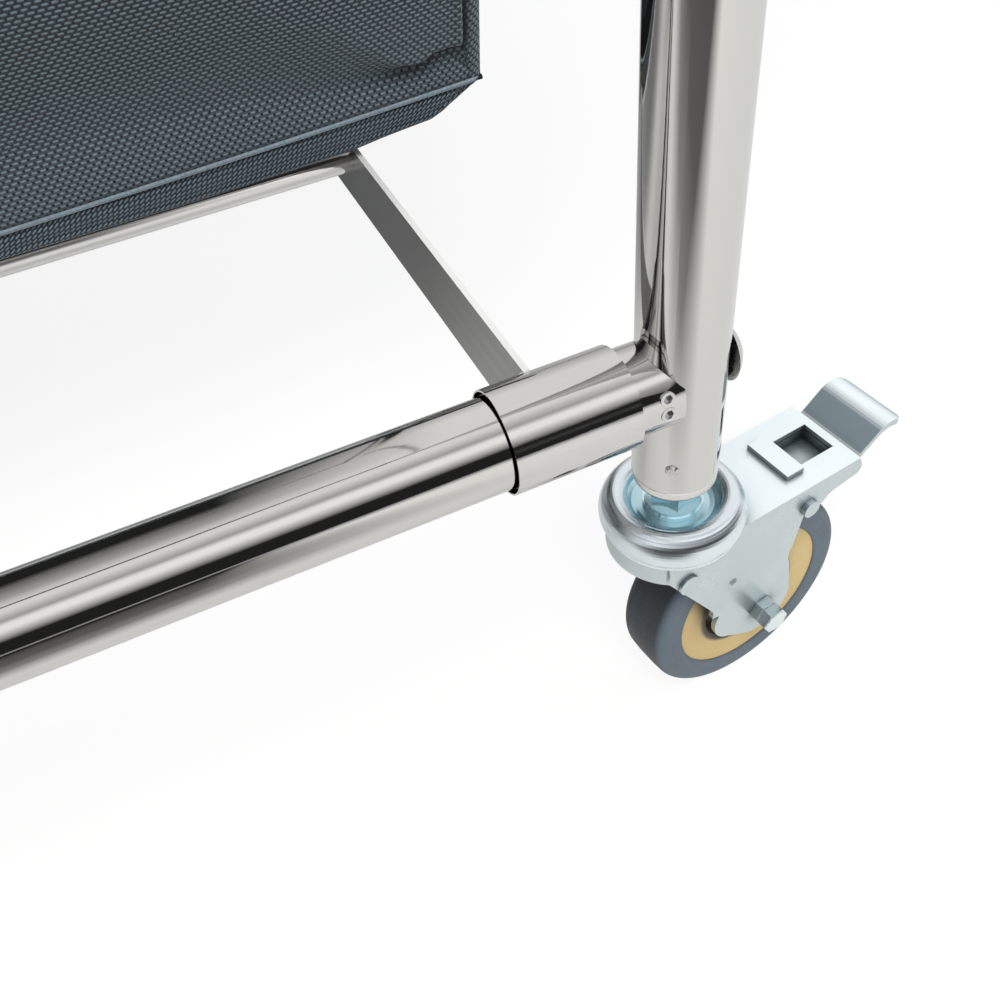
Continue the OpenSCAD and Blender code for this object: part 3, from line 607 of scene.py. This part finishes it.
def weave(name, turn=0.0, pitch=0.0033, row=0.0018, open_height=0.05, open_base=0.30):
    finish, tree, shader = principled(name)
    calc = partial(math_node, tree)
    place = add(tree, "UVMap", uv_map="cloth")
    spun = add(tree, "VectorRotate", {"Angle": turn}, rotation_type="Z_AXIS")
    counted = add(tree, "Mapping", {"Scale": (1 / pitch, 1 / row, 1)})
    join(tree, join(tree, place, "UV", spun, "Vector"), 0, counted, "Vector")
    across, up, _ = split(tree, counted, 0)
    odd = calc("FRACT", calc("MULTIPLY", calc("FLOOR", up), 0.5))
    shifted = calc("FRACT", calc("ADD", across, odd))
    cell_u = calc("ABSOLUTE", calc("SUBTRACT", shifted, 0.5))
    cell_v = calc("ABSOLUTE", calc("SUBTRACT", calc("FRACT", up), 0.5))
    side = calc("POWER", calc("DIVIDE", cell_u, YARN_HALF_WIDTH), 3.6)
    edge = calc("POWER", calc("DIVIDE", cell_v, YARN_HALF_HEIGHT), 2.0)
    body = calc("SUBTRACT", 1.0, calc("ADD", side, edge))
    yarn = calc("POWER", calc("MAXIMUM", body, 0.0), 0.6)
    height = split(tree, place, "UV")[1]
    openness = ramp(tree, height, ((0.0, 1.0), (open_height * 0.3, 0.9), (open_height, open_base)))
    gap_u = calc("POWER", calc("DIVIDE", calc("SUBTRACT", 0.5, cell_u), HOLE_HALF_WIDTH), 2.0)
    gap_v = calc("POWER", calc("DIVIDE", cell_v, HOLE_HALF_HEIGHT), 2.0)
    ring = ramp(tree, calc("ADD", gap_u, gap_v), ((0.45, 1.0), (1.0, 0.0)))
    hole = calc("MULTIPLY", openness, ring)
    worn = ramp(tree, noise(tree, place, "UV", 900.0, 4.0, 0.7), ((0.3, 0.80), (0.7, 1.12)))
    broad = ramp(tree, noise(tree, place, "UV", 7.0, 3.0), ((0.3, 0.8), (0.7, 1.0)))
    thread = calc("MAXIMUM", calc("MULTIPLY", yarn, worn), calc("MULTIPLY", openness, 0.52))
    yarn_middle = tuple(0.38 * v for v in YARN_TOP_PAINTED_HIGHLIGHT)
    tint = ramp(tree, thread, ((0.10, YARN_GAP_PAINTED_SHADE), (0.55, yarn_middle), (0.98, YARN_TOP_PAINTED_HIGHLIGHT)))
    patch = mix(tree, 0.5, mix(tree, hole, tint, HOLE_DARK), broad, "MULTIPLY")
    # painted shade in the cloth's creases, from occlusion
    valley = occlusion(tree, 0.012, 6, ((0.45, 0.10), (0.90, 1.0)))
    feed(tree, mix(tree, 1.0, patch, valley, "MULTIPLY"), shader.inputs["Base Color"])
    feed(tree, ramp(tree, yarn, ((0.0, 0.9), (1.0, 0.48))), shader.inputs["Roughness"])
    shader.inputs["Sheen Weight"].default_value = 0.12
    relief(tree, calc("SUBTRACT", yarn, calc("MULTIPLY", hole, 1.2)), shader, 1.0, 0.0006)
    return finish


wall_cloth = weave("wall_cloth_finish")
band_cloth = weave("band_cloth_finish", turn=0.62, pitch=0.0034, row=0.0013, open_height=0.0012,
                   open_base=0.08)
end_cloth = weave("end_cloth_finish", turn=math.pi / 2, pitch=0.0030, row=0.0016, open_height=0.9)
print("woven finishes:", 3)

# %% [markdown]
# ## Cloth pieces
# Each piece of cloth is a grid of points with its own flat pattern beside it, as a tailor would
# draw it. The flat pattern becomes the UV map. A Solidify modifier gives the cloth its thickness,
# which stays editable. A far or left piece is the near or right one mirrored on one axis.


# %% Cloth helper
MIRROR_AXIS = {"near": None, "far": 1, "right": None, "left": 0}


def lengths_along(points):
    steps = np.linalg.norm(np.diff(points, axis=0), axis=1)
    return np.concatenate(((0,), np.cumsum(steps)))


def cloth_piece(name, points, pattern, finish, thickness=0.0012, mirror=None):
    points, pattern = np.array(points, float), np.array(pattern, float)
    if mirror is not None:
        points = points[:, ::-1].copy()
        pattern = pattern[:, ::-1]
        points[..., mirror] *= -1
    rows, columns = points.shape[:2]
    index = np.arange(rows * columns).reshape(rows, columns)
    quads = np.stack((index[:-1, :-1], index[:-1, 1:], index[1:, 1:], index[1:, :-1]), -1).reshape(-1, 4)
    mesh = bpy.data.meshes.new(name)
    mesh.from_pydata(points.reshape(-1, 3).tolist(), [], quads.tolist())
    layer = mesh.uv_layers.new(name="cloth")
    layer.data.foreach_set("uv", pattern.reshape(-1, 2)[quads.ravel()].ravel())
    mesh.polygons.foreach_set("use_smooth", [True] * len(mesh.polygons))
    mesh.materials.append(finish)
    piece = bpy.data.objects.new(name, mesh)
    bpy.context.scene.collection.objects.link(piece)
    layer_of_cloth = piece.modifiers.new("thickness", "SOLIDIFY")
    layer_of_cloth.thickness = thickness
    layer_of_cloth.offset = -1
    print(name, "has", len(mesh.vertices), "points")
    return piece


# %% [markdown]
# ## The long walls
# Just above the bottom seam the cloth is drawn inward to a shallow valley, and above that it
# swells out. Toward each corner the valley sharpens to a crease that turns up into the side seam.
# The crease is a table of heights above the seam, and one function turns it into how far the
# cloth stands out of its plane.

# %% Long walls
CREASE = ((0, 18), (6, 18), (20, 17.6), (27, 13), (36, 12), (60, 12.5), (77, 15.5), (97, 21),
          (150, 27), (400, 31))
RISE = ((0, 2.2), (20, 3), (30, 6), (40, 12), (60, 34), (100, 54), (200, 74), (400, 84))
DEPTH = ((0, 3.4), (20, 5.2), (30, 5.9), (60, 5.6), (120, 5.6), (220, 4.8), (400, 3.6))
BULGE = ((0, 2.4), (30, 2.4), (60, 1.4), (400, 1.15))
SWELL_MM, SWELL_SPAN_MM, SLACK_MM = 6.0, 610, 1.6
SIDE_RIDGE_MM, SIDE_GROOVE_MM, CORNER_FOLD_MM = 3.2, 0.9, 1.3
WALL_FOOT, FINE_TO, TOP_GAP, LIFT_ENDS = -0.0012, 0.034, 0.004, 0.25


def table(pairs, millimetres):
    places, values = zip(*pairs)
    return np.interp(millimetres, places, values)


def wall_out(x, height, edge):
    """How far the cloth stands out of its plane, at a height above the seam and so far from the
    wall's side edge. The sums are in millimetres."""
    e, h = edge * 1000, height * 1000
    crease, depth = table(CREASE, e), table(DEPTH, e)
    rise = ease((h - crease) / table(RISE, e))
    low = -depth * np.clip(h / crease, 0, 1) ** table(BULGE, e)
    arch = np.sin(np.pi * np.clip((h - crease) / SWELL_SPAN_MM, 0, 1)) ** 0.8
    swell = SWELL_MM * arch * (1 - np.exp(-e / 55))
    beside = e - SIDE_SEAM * 1000
    ridge = SIDE_RIDGE_MM * np.exp(-(beside / 1.3) ** 2)
    groove = SIDE_GROOVE_MM * np.exp(-((beside - 3.2) / 1.6) ** 2)
    side_seam = (ridge - groove) * ease((h - 15) / 4)
    to_fold = h - 13.5 + (9.1 - e) * 1.26
    fold = CORNER_FOLD_MM * np.exp(-(to_fold / 1.5) ** 2) * np.exp(-((e - 7) / 4.2) ** 2)
    slack = SLACK_MM * np.sin(x * 9 + 0.8) * np.sin(h / 96) * ease(e / 120)
    out = low + rise * (depth * 1.25 + swell + slack) - side_seam - fold
    return out / 1000


def long_wall(side, body):
    top = (TOP_Z - TOP_GAP - SEAM_Z) * SLOPE
    fine = np.linspace(WALL_FOOT, FINE_TO, 36)
    coarse = FINE_TO + (top - FINE_TO) * np.linspace(0, 1, 118)[1:] ** 1.25
    u, h = np.meshgrid(spaced(300, 0.86), np.concatenate((fine, coarse)))
    z = SEAM_Z + h / SLOPE
    x = u * (corner_x(z) - SIDE_SEAM + 0.0012)
    lift = (seam_height(x) - SEAM_Z) * (1 - np.clip(h / LIFT_ENDS, 0, 1))
    out = wall_out(x, h, corner_x(z) - np.abs(x))
    y = -(SEAM_Y + (z - SEAM_Z) * LEAN) - out / SLOPE
    points = np.stack((x, y, z + lift - out * LEAN / SLOPE), -1)
    wall = cloth_piece(f"bag_{side}_wall_cloth", points, np.stack((x, h), -1), wall_cloth,
                       mirror=MIRROR_AXIS[side])
    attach(wall, body)
    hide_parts(f"bag_{side}_wall")
    return wall


near_wall = long_wall("near", "near_frame")
far_wall = long_wall("far", "far_frame")

# %% [markdown]
# ## Hem sleeves
# Along each top rail the wall's upper edge is sewn into a sleeve that the rail slides through. It
# is a drop-shaped loop: round over the rail, and closed by a stitched line below it.


# %% Hem sleeves
HEM_HALF, HEM_RADIUS, STITCH_Z, PUCKER_TO_Z = 0.362, 0.0182, 0.842, 0.868


def hem_sleeve(side, body):
    close = np.array((-(SEAM_Y + (STITCH_Z - SEAM_Z) * LEAN), STITCH_Z))
    turns = np.radians(np.linspace(-170, 170, 44)) + math.pi / 2
    ring = np.stack((-RAIL_Y + HEM_RADIUS * np.cos(turns), RAIL_Z + HEM_RADIUS * np.sin(turns)), -1)
    outer, inner = close + (-0.0006, 0), close + (0.0012, 0)
    blend = np.linspace(0, 1, 9)[:-1, None]
    back = blend[1:][::-1]
    up_to_ring = inner * (1 - blend) + ring[0] * blend
    down_from_ring = ring[-1] * back + outer * (1 - back)
    loop = np.concatenate((up_to_ring, ring, down_from_ring, outer[None]))
    length = lengths_along(loop)
    across = spaced(150, 0.3, -HEM_HALF, HEM_HALF)
    points = np.zeros((len(loop), len(across), 3))
    pucker = 0.0003 * np.sin(across * 210)[None] * (loop[:, 1:2] < PUCKER_TO_Z)
    points[..., 0] = across[None]
    points[..., 1] = loop[:, :1] - pucker
    points[..., 2] = loop[:, 1:]
    pattern = np.stack(np.meshgrid(across, 0.2 + length), -1)
    sleeve = cloth_piece(f"bag_{side}_hem", points, pattern, wall_cloth, 0.0010,
                         mirror=MIRROR_AXIS[side])
    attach(sleeve, body)
    return sleeve


near_hem = hem_sleeve("near", "near_frame")
far_hem = hem_sleeve("far", "far_frame")

# %% [markdown]
# ## End walls
# An end wall wraps a few millimetres round the corner before its side seam, so the corner of the
# bag is a soft round edge and the seam lies on the long face. Its upper edge is turned over into a
# hem and hangs in a slight curve.


# %% End walls
BEND = 0.0052
END_LIP = ((-0.020, 0.0085), (-0.012, 0.0070), (-0.0090, 0.0050), (-SIDE_SEAM - 0.0021, 0.0028),
           (-SIDE_SEAM - 0.0016, 0.0012), (-SIDE_SEAM - 0.0007, 0.0002))
END_SAG, END_DROP, END_HEIGHT = 0.0045, 0.014, 0.63


def end_row(height, sweep):
    """One level line of points round an end wall, from its lip on one side to the other."""
    z = SEAM_Z + height
    x, y = corner_x(z) + 0.0022, -(SEAM_Y + height * LEAN) - 0.0003
    lip = [(x + inward, y + back) for inward, back in END_LIP]
    turn = [(x - BEND + BEND * math.cos(a), y + BEND + BEND * math.sin(a)) for a in sweep]
    sag = END_SAG * math.sin(math.pi * min(height / 0.62, 1)) + 0.0006 * math.sin(height * 40)
    middle = [(x + sag * float(ease((v - y - BEND) / 0.09)), v)
              for v in np.linspace(y + BEND, 0, 42)[1:]]
    half = np.array(lip + turn + middle)
    whole = np.concatenate((half, half[:-1][::-1] * (1, -1)))
    drop = END_DROP * (height / END_HEIGHT) ** 3 * (1 - (whole[:, 1] / RAIL_Y) ** 2)
    bottom = 0.0013 * (1 - min(height / 0.05, 1))
    return whole, np.column_stack((whole, z + bottom - drop))


def end_wall(side):
    low, high = np.linspace(-0.001, 0.05, 26), np.linspace(0.05, TOP_Z - SEAM_Z, 90)[1:]
    sweep = np.radians(np.linspace(-90, 0, 11))
    rows, pattern = [], []
    for height in np.concatenate((low, high)):
        whole, row = end_row(height, sweep)
        run = lengths_along(whole)
        rows.append(row)
        pattern.append(np.column_stack((run - run[-1] / 2, np.full(len(run), height))))
    wall = cloth_piece(f"bag_{side}_end_cloth", rows, pattern, end_cloth, mirror=MIRROR_AXIS[side])
    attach(wall, "near_frame")
    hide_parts(f"bag_{side}_end")
    return wall


right_end = end_wall("right")
left_end = end_wall("left")

# %% [markdown]
# ## The bottom
# Each half of the bottom is one piece of cloth: a narrow band below the piped seam, a rounded
# fold, and a floor that lies on the rod and dips a little past it. Its lower line rises in two
# steps toward the corners, as the photograph shows. Each half rides on its own link.

# %% Bottom halves
LOWER = ((0, 212.4), (275, 212.7), (318, 213.6), (344, 214.6), (356, 216.1), (366, 217.0), (380, 218.1),
         (386, 220.4), (392, 224.1), (399, 228.8), (404, 231.6))
BOTTOM_END, CORNER_FROM, BAND_Y, FOLD_RADIUS = 0.4046, 0.335, -0.1296, 0.0042
BELLY, DIP, DIP_HALF = 0.0011, 0.0036, 0.345


def bottom_profile(across):
    """The lines of a half from its seam to the middle, each a distance out and a height."""
    seam = seam_height(across)
    lower = np.minimum(table(LOWER, np.abs(across) * 1000) / 1000, seam - 0.0004)
    tall = seam - lower
    fold = np.minimum(FOLD_RADIUS, tall * 0.45)
    yield BAND_Y + 0.0095, seam + 0.014
    yield BAND_Y + 0.0085, seam + 0.004
    yield BAND_Y + 0.0012, seam + 0.0004
    for share in np.linspace(0.06, 1, 12):
        belly = BELLY * math.sin(math.pi * share)
        yield BAND_Y - belly + 0.0004, seam - (tall - fold) * share
    for angle in np.radians(np.linspace(12, 90, 8)):
        yield BAND_Y + fold * (1 - math.cos(angle)), lower + fold * (1 - math.sin(angle))
    for share in np.linspace(0.03, 1, 40):
        sunk = 1 - np.clip(np.abs(across) / DIP_HALF, 0, 1) ** 4
        dip = DIP * ease((share - 0.25) / 0.75) * sunk
        yield BAND_Y + fold + (-BAND_Y - fold) * share, lower - dip + 0.0002


def bottom_half(side, body):
    corner = np.linspace(CORNER_FROM, BOTTOM_END, 50)
    along = np.linspace(-BOTTOM_END, BOTTOM_END, 150)
    across = np.unique(np.concatenate((along, corner, -corner)))[::-1]
    rows, pattern = [], []
    length, previous = np.zeros(len(across)), None
    for y, z in bottom_profile(across):
        y, z = np.broadcast_to(y, across.shape), np.broadcast_to(z, across.shape)
        if previous is not None:
            length = length + np.hypot(y - previous[0], z - previous[1])
        rows.append(np.stack((across, y, z), -1))
        pattern.append(np.stack((across, length), -1))
        previous = (y, z)
    half = cloth_piece(f"bag_{side}_bottom_cloth", rows, pattern, band_cloth,
                       mirror=MIRROR_AXIS[side])
    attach(half, body)
    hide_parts(f"bag_{side}_bottom")
    return half


near_bottom = bottom_half("near", "near_link")
far_bottom = bottom_half("far", "far_link")

# %% [markdown]
# ## Piped seam
# A folded strip of tape is sewn over the bottom seam. It shows as two ridges with a stitched groove
# between them, and turns each corner on a small radius. One closed outline is swept along the seam.


# %% Piping
STITCH_PITCH, RIB_PITCH = 0.0022, 0.0006
PIPING_END, PIPING_OUT, PIPING_TURN = 0.4045, 0.1306, 0.0065
RIDGE, RIDGE_TALL, GROOVE_DEPTH, GROOVE_AT, GROOVE_WIDTH = 0.00084, 1.15, 0.42, -0.35, 0.24


def piping_finish():
    dark, light = (0.13, 0.17, 0.20), (0.24, 0.29, 0.33)
    finish, tree, shader = principled("piping_finish")
    calc = partial(math_node, tree)
    along = split(tree, add(tree, "UVMap", uv_map="cloth"), "UV")[0]
    stitch = calc("ABSOLUTE", calc("SINE", calc("MULTIPLY", along, math.pi / STITCH_PITCH)))
    ribs = calc("SINE", calc("MULTIPLY", along, 2 * math.pi / RIB_PITCH))
    grain = noise(tree, add(tree, "TexCoord"), "Object", 700.0, 5.0)
    tone = calc("ADD", calc("MULTIPLY", stitch, 0.15), calc("MULTIPLY", grain, 0.85))
    feed(tree, ramp(tree, tone, ((0.3, dark), (0.85, light))), shader.inputs["Base Color"])
    feed(tree, ramp(tree, grain, ((0.3, 0.62), (0.7, 0.48))), shader.inputs["Roughness"])
    shader.inputs["Sheen Weight"].default_value = 0.15
    relief(tree, calc("ADD", stitch, calc("MULTIPLY", ribs, 0.3)), shader, 0.35, 0.00012)
    return finish


def piping(side, body, finish):
    end, out, turn = PIPING_END, PIPING_OUT, PIPING_TURN
    arc = np.radians(np.linspace(180, 270, 10))
    corner = np.stack((-end + turn + turn * np.cos(arc), -out + turn + turn * np.sin(arc)), -1)
    lead = np.stack((np.full(40, -end), np.linspace(0, -out + turn, 41)[:-1]), -1)
    front = np.stack((np.linspace(-end + turn, 0, 100)[1:], np.full(99, -out)), -1)
    half = np.concatenate((lead, corner, front))
    path = np.concatenate((half, half[:-1][::-1] * (-1, 1)))
    z = seam_height(path[:, 0])
    ahead = np.gradient(path, axis=0)
    ahead /= np.linalg.norm(ahead, axis=1)[:, None]
    outward = np.stack((ahead[:, 1], -ahead[:, 0]), -1)
    around = np.linspace(-math.pi, math.pi, 37)
    reach = RIDGE * (1 - GROOVE_DEPTH * np.exp(-((around - GROOVE_AT) / GROOVE_WIDTH) ** 2))
    ring = np.stack((reach * np.cos(around), RIDGE_TALL * reach * np.sin(around)), -1)
    length = lengths_along(path)
    rows = [np.column_stack((path + outward * r[0], z + r[1])) for r in ring]
    pattern = [np.column_stack((length, np.full(len(length), i * 0.0003))) for i in range(len(ring))]
    tape = cloth_piece(f"bag_{side}_piping", rows, pattern, finish, 0.0002,
                       mirror=MIRROR_AXIS[side])
    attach(tape, body)
    return tape


tape_finish = piping_finish()
near_piping = piping("near", "near_link", tape_finish)
far_piping = piping("far", "far_link", tape_finish)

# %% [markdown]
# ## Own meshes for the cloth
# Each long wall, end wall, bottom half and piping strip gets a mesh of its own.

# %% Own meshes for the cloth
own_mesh(near_wall)
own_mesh(far_wall)
for wall in (right_end, left_end):
    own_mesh(wall)
for strip in (near_bottom, far_bottom, near_piping, far_piping):
    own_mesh(strip)
print("cloth that folds:", 8)

# %% [markdown]
# ## What the chrome shows
# A dark wall so close to the tubes would fill them with one flat dark stripe. In a studio a pale
# sheet is held in front of it. Here the walls are simply left out of mirror rays, and the bottom
# of the bag stays in them, because the rod under it shows its dark line.

# %% Keep the walls out of the mirrors
for wall in (near_wall, far_wall, right_end, left_end, near_hem, far_hem):
    wall.visible_glossy = False
print("pieces that mirrors leave out:", 6)
